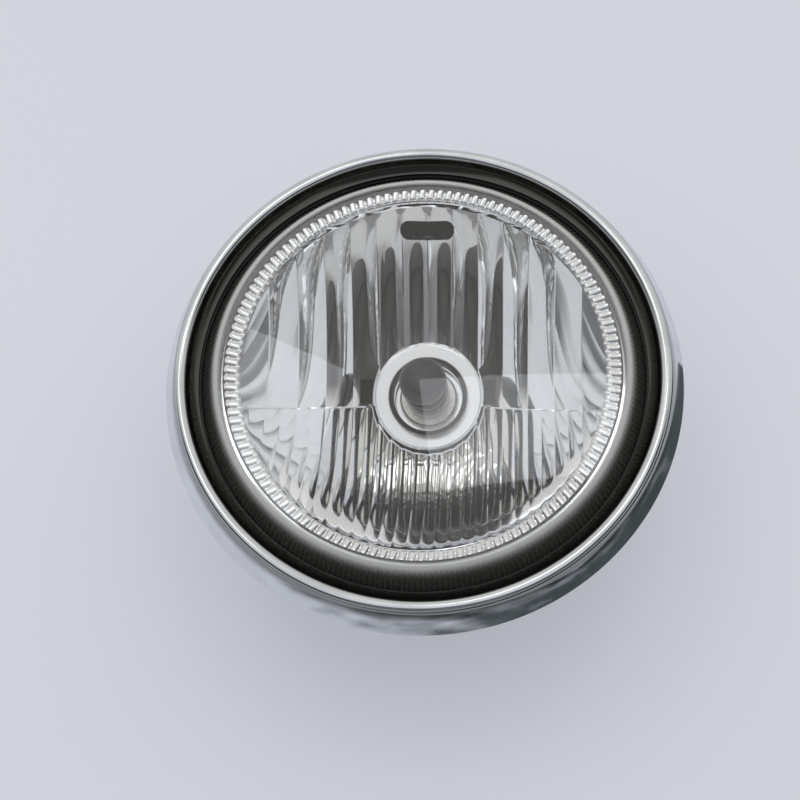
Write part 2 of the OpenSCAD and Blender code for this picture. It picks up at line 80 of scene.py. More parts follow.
HOLE_R = OPENING_R + 3.2
STEP_Y = BULB_Y - 4.0
STEP_H = 1.2
STEP_FALL = 19.6
FLUTE_DEPTH = 0.6
UPPER_FLUTES = 14
LOWER_FLUTES = 28
LOWER_DEPTH = 0.2
WINDOW_Y = 58.3
WINDOW_W = 19.6
WINDOW_H = 5.8
SLOT_W = 4.4
SLOT_H = 9.1
SLOT_GAP = 0.6
GLASS_R = 8.2
GLASS_REACH = 44.0
GLASS_BACK = -11.0
GLASS_WALL = 0.9
CAP_H = 8.0
# Radius inside which the rim's chrome gets painted shade
COVE_EDGE = 81.0 * MM

# Camera: the photo's focal length in pixels, its distance and direction in the lamp's frame,
# and the pixel at which the middle of the rim's rear edge shows
IMAGE = 800
FOCAL_PX = 1500
CAM_DIST = 522 * MM
CAM_AZ = math.radians(7.8)
CAM_EL = math.radians(68.2)
CAM_ROLL = math.radians(-6.9)
TARGET_PX = (423.2, 379.0)
SENSOR = 36.0


def make_camera():
    """Camera at the photo's angle; the small shift puts the lamp where the photo has it."""
    direction = Vector((math.sin(CAM_AZ) * math.cos(CAM_EL), -math.cos(CAM_AZ) * math.cos(CAM_EL), math.sin(CAM_EL)))
    right = (-direction).cross(Vector((0, 0, 1))).normalized()
    up = right.cross(-direction)
    cos_r = math.cos(CAM_ROLL)
    sin_r = math.sin(CAM_ROLL)
    x_axis = cos_r * right + sin_r * up
    y_axis = cos_r * up - sin_r * right
    place = Vector((0, 0, RIM_Z * MM)) + direction * CAM_DIST
    data = bpy.data.cameras.new("camera")
    data.sensor_width = SENSOR
    data.lens = FOCAL_PX / IMAGE * SENSOR
    data.shift_x = -(TARGET_PX[0] - IMAGE / 2) / IMAGE
    data.shift_y = (TARGET_PX[1] - IMAGE / 2) / IMAGE
    data.clip_start = 0.01
    camera = bpy.data.objects.new("camera", data)
    camera.matrix_world = Matrix((
        (x_axis.x, y_axis.x, direction.x, place.x),
        (x_axis.y, y_axis.y, direction.y, place.y),
        (x_axis.z, y_axis.z, direction.z, place.z),
        (0, 0, 0, 1)))
    bpy.context.scene.collection.objects.link(camera)
    bpy.context.scene.camera = camera


make_camera()


# Mesh helpers

def add_mesh(name, verts, faces, smooth=True):
    """New object from points in millimetres."""
    mesh = bpy.data.meshes.new(name)
    mesh.from_pydata([(x * MM, y * MM, z * MM) for x, y, z in verts], [], faces)
    mesh.validate()
    mesh.update()
    if smooth:
        mesh.polygons.foreach_set("use_smooth", [True] * len(mesh.polygons))
    obj = bpy.data.objects.new(name, mesh)
    bpy.context.scene.collection.objects.link(obj)
    return obj


def revolve_faces(profile, segments):
    """Points and faces of a closed outline (r, z) turned around the z axis."""
    verts = []
    faces = []
    count = len(profile)
    rings = []
    for r, z in profile:
        if r < 1e-6:
            rings.append([len(verts)] * segments)
            verts.append((0.0, 0.0, z))
            continue
        rings.append(list(range(len(verts), len(verts) + segments)))
        for k in range(segments):
            a = 2 * math.pi * k / segments
            verts.append((r * math.cos(a), r * math.sin(a), z))
    for i in range(count):
        a_ring = rings[i]
        b_ring = rings[(i + 1) % count]
        for k in range(segments):
            n = (k + 1) % segments
            face = [a_ring[k], b_ring[k], b_ring[n], a_ring[n]]
            face = [v for j, v in enumerate(face) if v != face[j - 1]]
            if len(face) > 2:
                faces.append(face)
    return verts, faces


def outward(obj):
    """Turns all faces to point out of the solid."""
    bm = bmesh.new()
    bm.from_mesh(obj.data)
    bmesh.ops.recalc_face_normals(bm, faces=bm.faces)
    bm.to_mesh(obj.data)
    bm.free()


def sharpen(obj, degrees=32):
    """Smooth shading that keeps edges sharper than the angle."""
    mesh = obj.data
    bm = bmesh.new()
    bm.from_mesh(mesh)
    for edge in bm.edges:
        if len(edge.link_faces) == 2:
            edge.smooth = edge.calc_face_angle(0) < math.radians(degrees)
    bm.to_mesh(mesh)
    bm.free()


def turned(name, profile, segments=256, degrees=32):
    """Solid of revolution with smooth flanks."""
    verts, faces = revolve_faces(profile, segments)
    obj = add_mesh(name, verts, faces)
    outward(obj)
    sharpen(obj, degrees)
    return obj


def arc(cx, cy, r, start, end, steps):
    """Points of an arc in the profile plane, angles in degrees."""
    return [(cx + r * math.cos(math.radians(start + (end - start) * i / steps)),
             cy + r * math.sin(math.radians(start + (end - start) * i / steps))) for i in range(steps + 1)]


def sheet_outline(line, wall):
    """Closed outline of a sheet that follows a line and has its wall on the line's left."""
    def left(a, b):
        d = Vector(b) - Vector(a)
        return Vector((-d.y, d.x)).normalized()
    back = []
    for i in range(len(line)):
        before = left(line[max(i - 1, 0)], line[max(i, 1)])
        after = left(line[min(i, len(line) - 2)], line[min(i + 1, len(line) - 1)])
        mean = (before + after) / (1 + before.dot(after))
        back.append(tuple(Vector(line[i]) + wall * mean))
    return list(line) + back[::-1]


def beam_matrix():
    """Frame of the beam axis, with its origin in the collar's face."""
    return (Matrix.Translation(Vector((0, BULB_Y, APEX_Z)) * MM) @ Matrix.Rotation(RAKE, 4, "X")
            @ Matrix.Translation(Vector((0, 0, COLLAR_LIFT)) * MM))


def place(obj, matrix):
    obj.data.transform(matrix)
    return obj


# Materials

def principled(name):
    material = bpy.data.materials.new(name)
    material.use_nodes = True
    nodes = material.node_tree.nodes
    shader = next(n for n in nodes if n.type == "BSDF_PRINCIPLED")
    return material, nodes, material.node_tree.links, shader


def object_coords(nodes, links, scale):
    coords = nodes.new("ShaderNodeTexCoord")
    mapping = nodes.new("ShaderNodeMapping")
    mapping.inputs["Scale"].default_value = scale
    links.new(coords.outputs["Object"], mapping.inputs["Vector"])
    return mapping.outputs["Vector"]


def noise(nodes, links, vector, scale, detail=4, rough=0.5):
    node = nodes.new("ShaderNodeTexNoise")
    node.inputs["Scale"].default_value = scale
    node.inputs["Detail"].default_value = detail
    node.inputs["Roughness"].default_value = rough
    links.new(vector, node.inputs["Vector"])
    return node.outputs["Fac"]


def spread(nodes, links, value, low, high, start=0.3, end=0.7):
    node = nodes.new("ShaderNodeMapRange")
    node.inputs["From Min"].default_value = start
    node.inputs["From Max"].default_value = end
    node.inputs["To Min"].default_value = low
    node.inputs["To Max"].default_value = high
    links.new(value, node.inputs["Value"])
    return node.outputs["Result"]


def tint(nodes, links, value, dark, light):
    node = nodes.new("ShaderNodeMix")
    node.data_type = "RGBA"
    node.inputs["A"].default_value = (*dark, 1)
    node.inputs["B"].default_value = (*light, 1)
    links.new(value, node.inputs["Factor"])
    return node.outputs["Result"]


def bump(nodes, links, shader, height, strength, distance):
    node = nodes.new("ShaderNodeBump")
    node.inputs["Strength"].default_value = strength
    node.inputs["Distance"].default_value = distance
    links.new(height, node.inputs["Height"])
    links.new(node.outputs["Normal"], shader.inputs["Normal"])


def math_node(nodes, links, operation, a, b):
    node = nodes.new("ShaderNodeMath")
    node.operation = operation
    for socket, value in zip(node.inputs, (a, b)):
        if isinstance(value, (int, float)):
            socket.default_value = value
        else:
            links.new(value, socket)
    return node.outputs["Value"]


def polished(name, dark, light, rough, wave, wave_scale, haze=0.05):
    """Bright metal with faint haze, fine wipe marks and a little waviness."""
    material, nodes, links, shader = principled(name)
    vector = object_coords(nodes, links, (1, 1, 1))
    streaks = object_coords(nodes, links, (1, 6, 1))
    patches = noise(nodes, links, vector, 60, 5)
    wipes = noise(nodes, links, streaks, 900, 2)
    shader.inputs["Metallic"].default_value = 1
    links.new(tint(nodes, links, spread(nodes, links, patches, 0, 1), dark, light), shader.inputs["Base Color"])
    both = nodes.new("ShaderNodeMath")
    both.operation = "MULTIPLY"
    links.new(patches, both.inputs[0])
    links.new(wipes, both.inputs[1])
    links.new(spread(nodes, links, both.outputs["Value"], rough, rough + haze, 0.15, 0.4), shader.inputs["Roughness"])
    bump(nodes, links, shader, noise(nodes, links, vector, wave_scale, 2), wave, 0.0004)
    return material


def rim_chrome(name):
    """Chrome with painted shade: its colour is darkened in the cove beside the lens and in the crease under the roll.
    """
    material = polished(name, (0.66, 0.68, 0.71), (0.80, 0.82, 0.85), 0.07, 0.05, 25, 0.08)
    nodes = material.node_tree.nodes
    links = material.node_tree.links
    shader = next(n for n in nodes if n.type == "BSDF_PRINCIPLED")
    radius, _turn, rise = radius_and_turn(nodes, links)
    # Painted shade: the cove and the crease under the roll get a dark colour where shade falls; the noise wobbles the
    # painted shade's edge.
    shade_wobble = noise(nodes, links, object_coords(nodes, links, (1, 1, 1)), 130, 5, 0.6)
    wander = math_node(nodes, links, "MULTIPLY", shade_wobble, 0.9 * MM)
    cove = spread(nodes, links, math_node(nodes, links, "ADD", radius, wander), 1, 0, COVE_EDGE, COVE_EDGE + 0.5 * MM)
    skirt = spread(nodes, links, radius, 0, 1, (RIM_R - SKIRT_TAPER - 0.9) * MM, (RIM_R - SKIRT_TAPER - 0.3) * MM)
    height = math_node(nodes, links, "ADD", rise, wander)
    crease = spread(nodes, links, height, 0, 1, (RIM_Z + SKIRT_H - 5.0) * MM, (RIM_Z + SKIRT_H - 1.5) * MM)
    crease = math_node(nodes, links, "MULTIPLY", crease, skirt)
    painted_shade = math_node(nodes, links, "MAXIMUM", cove, math_node(nodes, links, "MULTIPLY", crease, 0.8))
    bright = shader.inputs["Base Color"].links[0].from_socket
    # Dark colour of the painted shade.
    mix = nodes.new("ShaderNodeMix")
    mix.data_type = "RGBA"
    mix.inputs["B"].default_value = (0.105, 0.105, 0.092, 1)
    links.new(painted_shade, mix.inputs["Factor"])
    links.new(bright, mix.inputs["A"])
    links.new(mix.outputs["Result"], shader.inputs["Base Color"])
    return material


def moulded(name, dark, light, rough, grain, strength):
    """Moulded plastic or rubber with a fine grain."""
    material, nodes, links, shader = principled(name)
    vector = object_coords(nodes, links, (1, 1, 1))
    patches = noise(nodes, links, vector, 45, 5)
    links.new(tint(nodes, links, spread(nodes, links, patches, 0, 1), dark, light), shader.inputs["Base Color"])
    links.new(spread(nodes, links, patches, rough, rough + 0.14), shader.inputs["Roughness"])
    bump(nodes, links, shader, noise(nodes, links, vector, grain, 3), strength, 0.0002)
    return material


def clear(name, tone, ior, rough=0.0):
    """Clear plastic or glass with faint dust in its polish."""
    material, nodes, links, shader = principled(name)
    vector = object_coords(nodes, links, (1, 1, 1))
    shader.inputs["Transmission Weight"].default_value = 1
    shader.inputs["IOR"].default_value = ior
    shader.inputs["Base Color"].default_value = (*tone, 1)
    dust = noise(nodes, links, vector, 300, 6, 0.7)
    links.new(spread(nodes, links, dust, rough, rough + 0.012, 0.55, 0.8), shader.inputs["Roughness"])
    return material


def radius_and_turn(nodes, links):
    """Distance from the lamp's axis in metres, and the turn around it in radians."""
    coords = nodes.new("ShaderNodeTexCoord")
    split = nodes.new("ShaderNodeSeparateXYZ")
    links.new(coords.outputs["Object"], split.inputs["Vector"])
    x, y = split.outputs["X"], split.outputs["Y"]
    square = math_node(nodes, links, "ADD", math_node(nodes, links, "MULTIPLY", x, x),
                       math_node(nodes, links, "MULTIPLY", y, y))
    return math_node(nodes, links, "SQRT", square, 0), math_node(nodes, links, "ARCTAN2", y, x), split.outputs["Z"]


def ribbed_lens(name):
    """Clear lens plastic whose side is ribbed, with a hazy layer whose colour is painted light: a near-white painted
    highlight on the shoulder and dark grey painted shade on the side.
    """
    material = clear(name, (1.0, 1.0, 1.0), 1.49)
    nodes = material.node_tree.nodes
    links = material.node_tree.links
    glass = next(n for n in nodes if n.type == "BSDF_PRINCIPLED")
    output = next(n for n in nodes if n.type == "OUTPUT_MATERIAL")
    radius, turn, _height = radius_and_turn(nodes, links)
    side = spread(nodes, links, radius, 0, 1, (LENS_R - 0.6) * MM, (LENS_R + 0.6) * MM)
    edge = spread(nodes, links, radius, 0, 1, (BEZEL_OUT + 0.6) * MM, (BEZEL_OUT + 1.6) * MM)
    shoulder = math_node(nodes, links, "MULTIPLY", edge, math_node(nodes, links, "SUBTRACT", 1, side))
    ribs = math_node(nodes, links, "SINE", math_node(nodes, links, "MULTIPLY", turn, SIDE_RIBS), 0)
    bump(nodes, links, glass, math_node(nodes, links, "MULTIPLY", ribs, side), 0.35, 0.0004)
    # Hazy layer: near white on the shoulder is a painted highlight, dark grey on the side is painted shade for the
    # dark view through the side, and the ribs make the painted shade lighter and darker in turn.
    haze = nodes.new("ShaderNodeBsdfPrincipled")
    side_shade_mask = spread(nodes, links, radius, 0, 1, (LENS_R - 0.9) * MM, (LENS_R + 1.2) * MM)
    highlight_and_shade = nodes.new("ShaderNodeMix")
    highlight_and_shade.data_type = "RGBA"
    highlight_and_shade.inputs["A"].default_value = (0.93, 0.94, 0.93, 1)
    highlight_and_shade.inputs["B"].default_value = (0.15, 0.15, 0.13, 1)
    links.new(side_shade_mask, highlight_and_shade.inputs["Factor"])
    links.new(highlight_and_shade.outputs["Result"], haze.inputs["Base Color"])
    haze.inputs["Roughness"].default_value = 0.35
    rib_light = spread(nodes, links, ribs, 0.6, 1.0, -1, 1)
    amount = math_node(nodes, links, "MULTIPLY", math_node(nodes, links, "MULTIPLY", side, rib_light), SIDE_PAINTED_SHADE)
    amount = math_node(nodes, links, "ADD", amount, math_node(nodes, links, "MULTIPLY", shoulder, SHOULDER_PAINTED_HIGHLIGHT))
    mix = nodes.new("ShaderNodeMixShader")
    links.new(amount, mix.inputs["Fac"])
    links.new(glass.outputs["BSDF"], mix.inputs[1])
    links.new(haze.outputs["BSDF"], mix.inputs[2])
    links.new(mix.outputs["Shader"], output.inputs["Surface"])
    return material


def beam_height(nodes, links):
    """Metres along the beam from the collar's face, at a point of the surface."""
    axis = Vector((0, -math.sin(RAKE), math.cos(RAKE)))
    start = Vector((0, BULB_Y, APEX_Z)) * MM + axis * COLLAR_LIFT * MM
    coords = nodes.new("ShaderNodeTexCoord")
    dot = nodes.new("ShaderNodeVectorMath")
    dot.operation = "DOT_PRODUCT"
    dot.inputs[1].default_value = axis
    links.new(coords.outputs["Object"], dot.inputs[0])
    return math_node(nodes, links, "SUBTRACT", dot.outputs["Value"], start.dot(axis))


def capped_glass(name):
    """Thin bulb glass whose tip is painted dark."""
    material, nodes, links, spare = principled(name)
    output = next(n for n in nodes if n.type == "OUTPUT_MATERIAL")
    nodes.remove(spare)
    clearing = nodes.new("ShaderNodeBsdfTransparent")
    clearing.inputs["Color"].default_value = (0.985, 0.98, 0.955, 1)
    shine = nodes.new("ShaderNodeBsdfGlossy")
    dust = noise(nodes, links, object_coords(nodes, links, (1, 1, 1)), 300, 6, 0.7)
    links.new(spread(nodes, links, dust, 0.01, 0.05, 0.55, 0.8), shine.inputs["Roughness"])
    mirror = nodes.new("ShaderNodeFresnel")
    mirror.inputs["IOR"].default_value = 1.35
    thin = nodes.new("ShaderNodeMixShader")
    links.new(mirror.outputs["Fac"], thin.inputs["Fac"])
    links.new(clearing.outputs["BSDF"], thin.inputs[1])
    links.new(shine.outputs["BSDF"], thin.inputs[2])
    paint = nodes.new("ShaderNodeBsdfPrincipled")
    speckle = noise(nodes, links, object_coords(nodes, links, (1, 1, 1)), 900, 4)
    links.new(tint(nodes, links, speckle, (0.075, 0.066, 0.078), (0.12, 0.105, 0.125)), paint.inputs["Base Color"])
    paint.inputs["Roughness"].default_value = 0.32
    edge = math_node(nodes, links, "ADD", beam_height(nodes, links), math_node(nodes, links, "MULTIPLY", speckle, 0.0006))
    cover = spread(nodes, links, edge, 0, 1, (GLASS_REACH - CAP_H) * MM, (GLASS_REACH - CAP_H + 0.4) * MM)
    mix = nodes.new("ShaderNodeMixShader")
    links.new(cover, mix.inputs["Fac"])
    links.new(thin.outputs["Shader"], mix.inputs[1])
    links.new(paint.outputs["BSDF"], mix.inputs[2])
    links.new(mix.outputs["Shader"], output.inputs["Surface"])
    return material


chrome = rim_chrome("chrome")
bright_coat = polished("bright_coat", (0.84, 0.85, 0.87), (0.90, 0.91, 0.93), 0.015, 0.04, 40, 0.03)
collar_coat = polished("collar_coat", (0.90, 0.91, 0.92), (0.94, 0.94, 0.95), 0.12, 0.05, 60, 0.08)
zinc = polished("zinc", (0.45, 0.46, 0.47), (0.62, 0.63, 0.64), 0.28, 0.1, 300, 0.15)
shell_metal = polished("shell_metal", (0.62, 0.61, 0.58), (0.72, 0.71, 0.67), 0.2, 0.08, 200, 0.12)
brass = polished("brass", (0.58, 0.42, 0.18), (0.72, 0.55, 0.26), 0.22, 0.1, 250, 0.15)
tungsten = polished("tungsten", (0.20, 0.20, 0.21), (0.34, 0.34, 0.35), 0.3, 0.1, 400, 0.1)
black_plastic = moulded("black_plastic", (0.018, 0.018, 0.020), (0.032, 0.032, 0.035), 0.42, 1800, 0.25)
rubber = moulded("rubber", (0.012, 0.012, 0.012), (0.026, 0.026, 0.027), 0.62, 1200, 0.35)
seal_mass = moulded("seal_mass", (0.10, 0.095, 0.085), (0.17, 0.16, 0.145), 0.5, 500, 0.4)
bare_plastic = moulded("bare_plastic", (0.010, 0.010, 0.012), (0.018, 0.018, 0.022), 0.5, 900, 0.2)
brown_plastic = moulded("brown_plastic", (0.10, 0.05, 0.03), (0.15, 0.08, 0.045), 0.45, 900, 0.2)
lens_plastic = ribbed_lens("lens_plastic")
bulb_clear = capped_glass("bulb_clear")
pilot_clear = clear("pilot_clear", (0.97, 0.98, 1.0), 1.47)

NODE_MATERIALS = {
    "trim_rim": chrome,
    "rim_brackets": zinc,
    "rim_screws": zinc,
    "lens": lens_plastic,
    "lens_seal": seal_mass,
    "inner_bezel": bright_coat,
    "reflector": bright_coat,
    "bulb_collar": collar_coat,
    "housing": black_plastic,
    "bulb_glass": bulb_clear,
    "bulb_filaments": tungsten,
    "bulb_base": shell_metal,
    "bulb_insulator": brown_plastic,
    "bulb_terminals": brass,
    "bulb_clip": zinc,
    "clip_screws": zinc,
    "rubber_boot": rubber,
    "pilot_bulb": pilot_clear,
    "pilot_holder": rubber,
    "pivot_inserts": brass,
    "aim_insert": brass,
    "vent_cap": rubber,
}


def dress(obj, material):
    obj.data.materials.clear()
    obj.data.materials.append(material)


for node_name, node_material in NODE_MATERIALS.items():
    dress(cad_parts[node_name], node_material)


def stand_in(obj, node, material):
    """A finer piece in the place of a CAD node."""
    dress(obj, material)
    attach(obj, "root")
    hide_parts(node)


# Rim: tapered skirt, rolled edge and cove, turned as one smooth sheet

def make_rim():
    roll_x = RIM_R - SKIRT_TAPER - ROLL_R
    roll_z = RIM_Z + SKIRT_H
    steps = 24
    line = [(RIM_R - HEM, RIM_Z)]
    for i in range(steps + 1):
        u = i / steps
        line.append((RIM_R - SKIRT_TAPER + SKIRT_TAPER * (1 - u) ** 1.35, RIM_Z + SKIRT_H * u))
    line += arc(roll_x, roll_z, ROLL_R, 4, 180, 44)
    lip_z = roll_z + ROLL_R - COVE_DEPTH
    cove_r = roll_x - ROLL_R
    lip_r = LENS_FOOT_R + 0.8
    line += [(cove_r - 0.15, lip_z + 2.4), (cove_r - 0.8, lip_z + 1.2), (lip_r, lip_z)]
    rim = turned("rim_skin", sheet_outline(line, RIM_SHEET), 384, 40)
    stand_in(rim, "trim_rim", chrome)


make_rim()


# Lens: crowned front, rounded shoulder, flared side and foot

def lens_line(inset, steps):
    crown_r = (LENS_R ** 2 + LENS_CROWN ** 2) / (2 * LENS_CROWN)
    top_z = RIM_Z + LENS_H + LENS_CROWN
    turn_r = LENS_R - SHOULDER_FILLET

    def crown_z(r, drop):
        return top_z - drop - crown_r + math.sqrt(crown_r ** 2 - r ** 2)
    line = [(turn_r * i / steps, crown_z(turn_r * i / steps, inset)) for i in range(steps + 1)]
    edge = crown_z(turn_r, SHOULDER_FILLET)
    line += arc(turn_r, edge, SHOULDER_FILLET - inset, 84, 20, 10)
    line += [(LENS_FOOT_R - inset, LENS_FOOT_Z), (LENS_FOOT_R - inset, LENS_BASE_Z)]
    return line


def make_lens():
    outline = lens_line(0, 40) + lens_line(LENS_WALL, 40)[::-1]
    lens = turned("lens_clear", outline, 320, 35)
    stand_in(lens, "lens", lens_plastic)


make_lens()


# Inner bezel: rounded, slightly slanted prisms

def make_bezel():
    around = 10
    across = 8
    segments = PRISMS * around
    verts = []
    faces = []
    rows = []
    for j in range(across + 1):
        v = j / across
        row = []
        for i in range(segments):
            a = 2 * math.pi * i / segments
            inner = BEZEL_IN - SIDE_BAND * math.cos(a) ** 2
            radius = inner + (BEZEL_OUT - inner) * v
            u = (i / around + PRISM_SLANT * (v - 0.5)) % 1
            pillow = max(1 - (2 * u - 1) ** 2, 0) ** 0.6 * max(1 - (2 * v - 1) ** 8, 0) ** 0.5 * (0.45 + 0.55 * v)
            row.append(len(verts))
            verts.append((radius * math.cos(a), radius * math.sin(a), BEZEL_Z + BEZEL_BASE + PRISM_H * pillow))
        rows.append(row)
    for radius_of in (lambda a: BEZEL_OUT, lambda a: BEZEL_IN - SIDE_BAND * math.cos(a) ** 2):
        row = []
        for i in range(segments):
            a = 2 * math.pi * i / segments
            row.append(len(verts))
            verts.append((radius_of(a) * math.cos(a), radius_of(a) * math.sin(a), BEZEL_Z))
        rows.append(row)
    for j in range(len(rows)):
        lower = rows[j]
        upper = rows[(j + 1) % len(rows)]
        for i in range(segments):
            n = (i + 1) % segments
            faces.append((lower[i], lower[n], upper[n], upper[i]))
    bezel = add_mesh("prism_ring", verts, faces)
    outward(bezel)
    sharpen(bezel, 50)
    stand_in(bezel, "inner_bezel", bright_coat)


make_bezel()


# Reflector: the raked bowl with its upright flutes, finer than the solid's facets

def level(x, y):
    """0 at the apex and 1 at the mouth, above a point of the rim plane."""
    d = y - BULB_Y
    b = 2 * BULB_Y * d - MOUTH_R ** 2
    c = x * x + d * d
    return 2 * c / (-b + math.sqrt(b * b - 4 * BULB_Y ** 2 * c))


def bowl_z(x, y):
    q = level(x, y)
    return APEX_Z + q * BOWL_DEPTH + (1 - q) * math.tan(RAKE) * (y - BULB_Y)


def half_chord(r, x):
    return math.sqrt(max(r * r - x * x, 0.0))


def make_bowl():
    """Closed shell of the two fluted halves with the step between them."""
    columns = 448
    rows = 36
    reach = MOUTH_R - 0.2
    verts = []
    faces = []

    def flute(i, upper):
        per = columns / (UPPER_FLUTES if upper else LOWER_FLUTES)
        u = (i % per) / per
        uneven = 1 if upper else 0.75 + 0.5 * abs(math.sin(2.3 * (i // per) + 0.7))
        return (FLUTE_DEPTH if upper else LOWER_DEPTH) * uneven * 4 * u * (1 - u)

    def step_line(x):
        fall = STEP_FALL * max(x * x - HOLE_R ** 2, 0) / (MOUTH_R ** 2 - HOLE_R ** 2)
        return max(0.2 - half_chord(MOUTH_R, x), STEP_Y - fall)

    index = {}
    over_hole = []
    xs = [-reach + 2 * reach * i / columns for i in range(columns + 1)]
    for i in range(columns):
        over_hole.append(min(abs(xs[i]), abs(xs[i + 1])) < HOLE_R - 0.01)
    knots = {0, columns} | {i for i in range(1, columns) if over_hole[i] != over_hole[i - 1]}
    for back in (0, 1):
        for upper in (1, 0):
            for i, x in enumerate(xs):
                h = half_chord(HOLE_R, x)
                step = step_line(x)
                if upper:
                    start = max(step, BULB_Y + h) if h > 0 else step
                    end = max(half_chord(MOUTH_R, x), step + 0.2)
                else:
                    start = min(step, BULB_Y - h) if h > 0 else step
                    end = min(-half_chord(MOUTH_R, x), step - 0.2)
                for k in range(rows + 1):
                    if k == 0 and not upper and i in knots:
                        index[back, upper, i, k] = index[back, 1, i, k]
                        continue
                    v = k / rows
                    y = start + (end - start) * v
                    fade = 1 - v ** 6
                    z = bowl_z(x, y) - back * BOWL_WALL - (0 if upper else STEP_H * fade) + fade * flute(i, upper)
                    index[back, upper, i, k] = len(verts)
                    verts.append((x, y, z))

    def quad(*corners):
        face = [c for j, c in enumerate(corners) if c != corners[j - 1]]
        if len(face) > 2:
            faces.append(face)

    for i in range(columns):
        for upper in (1, 0):
            for k in range(rows):
                for back in (0, 1):
                    quad(index[back, upper, i, k], index[back, upper, i + 1, k],
                         index[back, upper, i + 1, k + 1], index[back, upper, i, k + 1])
            quad(index[0, upper, i, rows], index[0, upper, i + 1, rows],
                 index[1, upper, i + 1, rows], index[1, upper, i, rows])
            if over_hole[i]:
                quad(index[0, upper, i, 0], index[0, upper, i + 1, 0],
                     index[1, upper, i + 1, 0], index[1, upper, i, 0])
        if not over_hole[i]:
            for back in (0, 1):
                quad(index[back, 1, i, 0], index[back, 1, i + 1, 0],
                     index[back, 0, i + 1, 0], index[back, 0, i, 0])
    for i in (0, columns):
        for upper in (1, 0):
            for k in range(rows):
                quad(index[0, upper, i, k], index[0, upper, i, k + 1],
                     index[1, upper, i, k + 1], index[1, upper, i, k])
    bowl = add_mesh("bowl", verts, faces)
    outward(bowl)
    return bowl


def box_cutter(size, matrix):
    verts = [(sx * size[0] / 2, sy * size[1] / 2, sz * size[2] / 2)
             for sx in (-1, 1) for sy in (-1, 1) for sz in (-1, 1)]
    faces = [(0, 1, 3, 2), (4, 6, 7, 5), (0, 4, 5, 1), (2, 3, 7, 6), (0, 2, 6, 4), (1, 5, 7, 3)]
    cutter = add_mesh("cutter", verts, faces, smooth=False)
    outward(cutter)
    return place(cutter, matrix)


def stadium_cutter(width, height, depth, matrix):
    steps = 24
    flat = (width - height) / 2
    outline = [(flat + x, y) for x, y in arc(0, 0, height / 2, -90, 90, steps)]
    outline += [(-flat + x, y) for x, y in arc(0, 0, height / 2, 90, 270, steps)]
    n = len(outline)
    verts = [(x, y, -depth / 2) for x, y in outline] + [(x, y, depth / 2) for x, y in outline]
    faces = [list(range(n))[::-1], list(range(n, 2 * n))]
    faces += [(i, (i + 1) % n, n + (i + 1) % n, n + i) for i in range(n)]
    cutter = add_mesh("cutter", verts, faces, smooth=False)
    outward(cutter)
    return place(cutter, matrix)


def cut(obj, cutter):
    """Takes the cutter's volume out of obj."""
    modifier = obj.modifiers.new("cut", "BOOLEAN")
    modifier.operation = "DIFFERENCE"
    modifier.solver = "EXACT"
    modifier.object = cutter
    bpy.context.view_layer.update()
    graph = bpy.context.evaluated_depsgraph_get()
    mesh = bpy.data.meshes.new_from_object(obj.evaluated_get(graph))
    obj.modifiers.clear()
    obj.data = mesh
    bpy.data.objects.remove(cutter)


def join(main, others):
    """Adds the meshes of other objects to the main one."""
    bm = bmesh.new()
    bm.from_mesh(main.data)
    for other in others:
        bm.from_mesh(other.data)
        bpy.data.objects.remove(other)
    bm.to_mesh(main.data)
    bm.free()


def make_reflector():
    bowl = make_bowl()
    beam = beam_matrix()
    for side in (-1, 1):
        shift = Matrix.Translation(Vector((side * (COLLAR_R + SLOT_GAP + SLOT_W / 2), 1.5, 4)) * MM)
        cut(bowl, box_cutter((SLOT_W, SLOT_H, 16), beam @ shift))
    window = (Matrix.Translation(Vector((0, WINDOW_Y, bowl_z(0, WINDOW_Y))) * MM) @ Matrix.Rotation(RAKE, 4, "X"))
    cut(bowl, stadium_cutter(WINDOW_W, WINDOW_H, 20, window))
    lip_z = MOUTH_Z + 1.6
    flange = turned("flange", [(MOUTH_R - 0.8, MOUTH_Z - 3), (MOUTH_R + 1.6, MOUTH_Z - 3),
                               (MOUTH_R + 1.6, lip_z - 2.6), (LENS_R - 1.4, lip_z - 2.6),
                               (LENS_R - 1.4, lip_z), (MOUTH_R - 0.8, lip_z)])
    sleeve = OPENING_R + 1.5
    neck = turned("neck", [(sleeve, -10.5), (11.2, -10.5), (11.2, -12), (18, -12), (18, -2.6), (sleeve, -2.6)], 128)
    seat = turned("bulb_seat", [(18, -12), (25, -12), (25, -10), (18, -10)], 128)
    place(neck, beam)
    place(seat, beam)
    join(bowl, [flange, neck])
    bowl.name = "reflector_bowl"
    sharpen(bowl, 20)
    stand_in(seat, "reflector", bare_plastic)
    stand_in(bowl, "reflector", bright_coat)


make_reflector()


# Collar around the bulb

def make_collar():
    profile = [(OPENING_R, -2.4), (OPENING_R, -8), (OPENING_R + 1.3, -8), (OPENING_R + 1.3, -2.2),
               (COLLAR_R - 1.4, -2.2), (COLLAR_R - 0.4, -1.2), (COLLAR_R, -1.2), (COLLAR_R, -0.9)]
    profile += arc(COLLAR_R - 1.1, -0.9, 0.9, 30, 90, 6)
    profile += arc(OPENING_R + 2.1, -0.3, 0.3, 90, 180, 4)
    profile += [(OPENING_R + 1.5, -0.9)]
    collar = place(turned("collar_ring", profile, 192), beam_matrix())
    stand_in(collar, "bulb_collar", collar_coat)


make_collar()


# Bulb's glass

